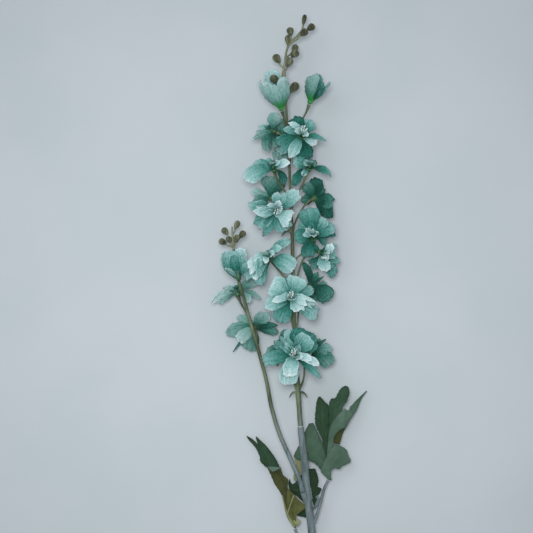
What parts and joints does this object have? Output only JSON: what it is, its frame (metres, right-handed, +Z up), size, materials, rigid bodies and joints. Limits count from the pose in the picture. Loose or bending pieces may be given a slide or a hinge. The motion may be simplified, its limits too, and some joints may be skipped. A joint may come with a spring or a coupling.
{
  "type": "delphinium stem",
  "caption": "Artificial delphinium stem lying on its back: a spike of teal cloth blooms with a side branch, lobed leaves and a long bare stalk.",
  "frame": {"origin": "centre of the bounding box at the surface the stem lies on", "axes": "+Y along the stem from its cut end to the bud tip, +Z up from the surface towards the viewer of the picture, +X to the right across the stem"},
  "size_m": [0.1242, 0.6506, 0.0492],
  "materials": {
    "petal_silk": "woven polyester petal cloth, matt, dyed darker at the foot",
    "stem_lilac": "moulded plastic stem with a pale lilac bloom",
    "stem_olive": "moulded olive plastic, slightly satin",
    "bud_olive": "flocked olive buds",
    "leaf_green": "printed leaf cloth, paler veins"
  },
  "bodies": {
    "root": {"lower_stem": "stem_lilac", "spike_stem": "stem_olive", "side_branch": "stem_olive", "main_bud_tip": "bud_olive", "side_bud_tip": "bud_olive", "leaf_right": "leaf_green", "leaf_left": "leaf_green", "leaf_back": "leaf_green", "bell_top_left": "petal_silk", "bell_top_right": "petal_silk", "side_bell": "petal_silk", "bloom_01_outer": "petal_silk", "bloom_01_inner": "petal_silk", "bloom_02_outer": "petal_silk", "bloom_02_inner": "petal_silk", "bloom_03_outer": "petal_silk", "bloom_03_inner": "petal_silk", "bloom_04_outer": "petal_silk", "bloom_04_inner": "petal_silk", "bloom_05_outer": "petal_silk", "bloom_05_inner": "petal_silk", "bloom_06_outer": "petal_silk", "bloom_06_inner": "petal_silk", "bloom_07_outer": "petal_silk", "bloom_07_inner": "petal_silk", "bloom_08_outer": "petal_silk", "bloom_08_inner": "petal_silk", "bloom_09_outer": "petal_silk", "bloom_09_inner": "petal_silk", "bloom_10_outer": "petal_silk", "bloom_10_inner": "petal_silk", "bloom_11_outer": "petal_silk", "bloom_11_inner": "petal_silk", "bloom_12_outer": "petal_silk", "bloom_12_inner": "petal_silk", "bloom_13_outer": "petal_silk", "bloom_13_inner": "petal_silk", "bloom_14_outer": "petal_silk", "bloom_14_inner": "petal_silk", "bloom_15_outer": "petal_silk", "bloom_15_inner": "petal_silk", "bloom_16_outer": "petal_silk", "bloom_16_inner": "petal_silk", "side_bloom_01_outer": "petal_silk", "side_bloom_01_inner": "petal_silk", "side_bloom_02_outer": "petal_silk", "side_bloom_02_inner": "petal_silk"}
  },
  "joints": []
}
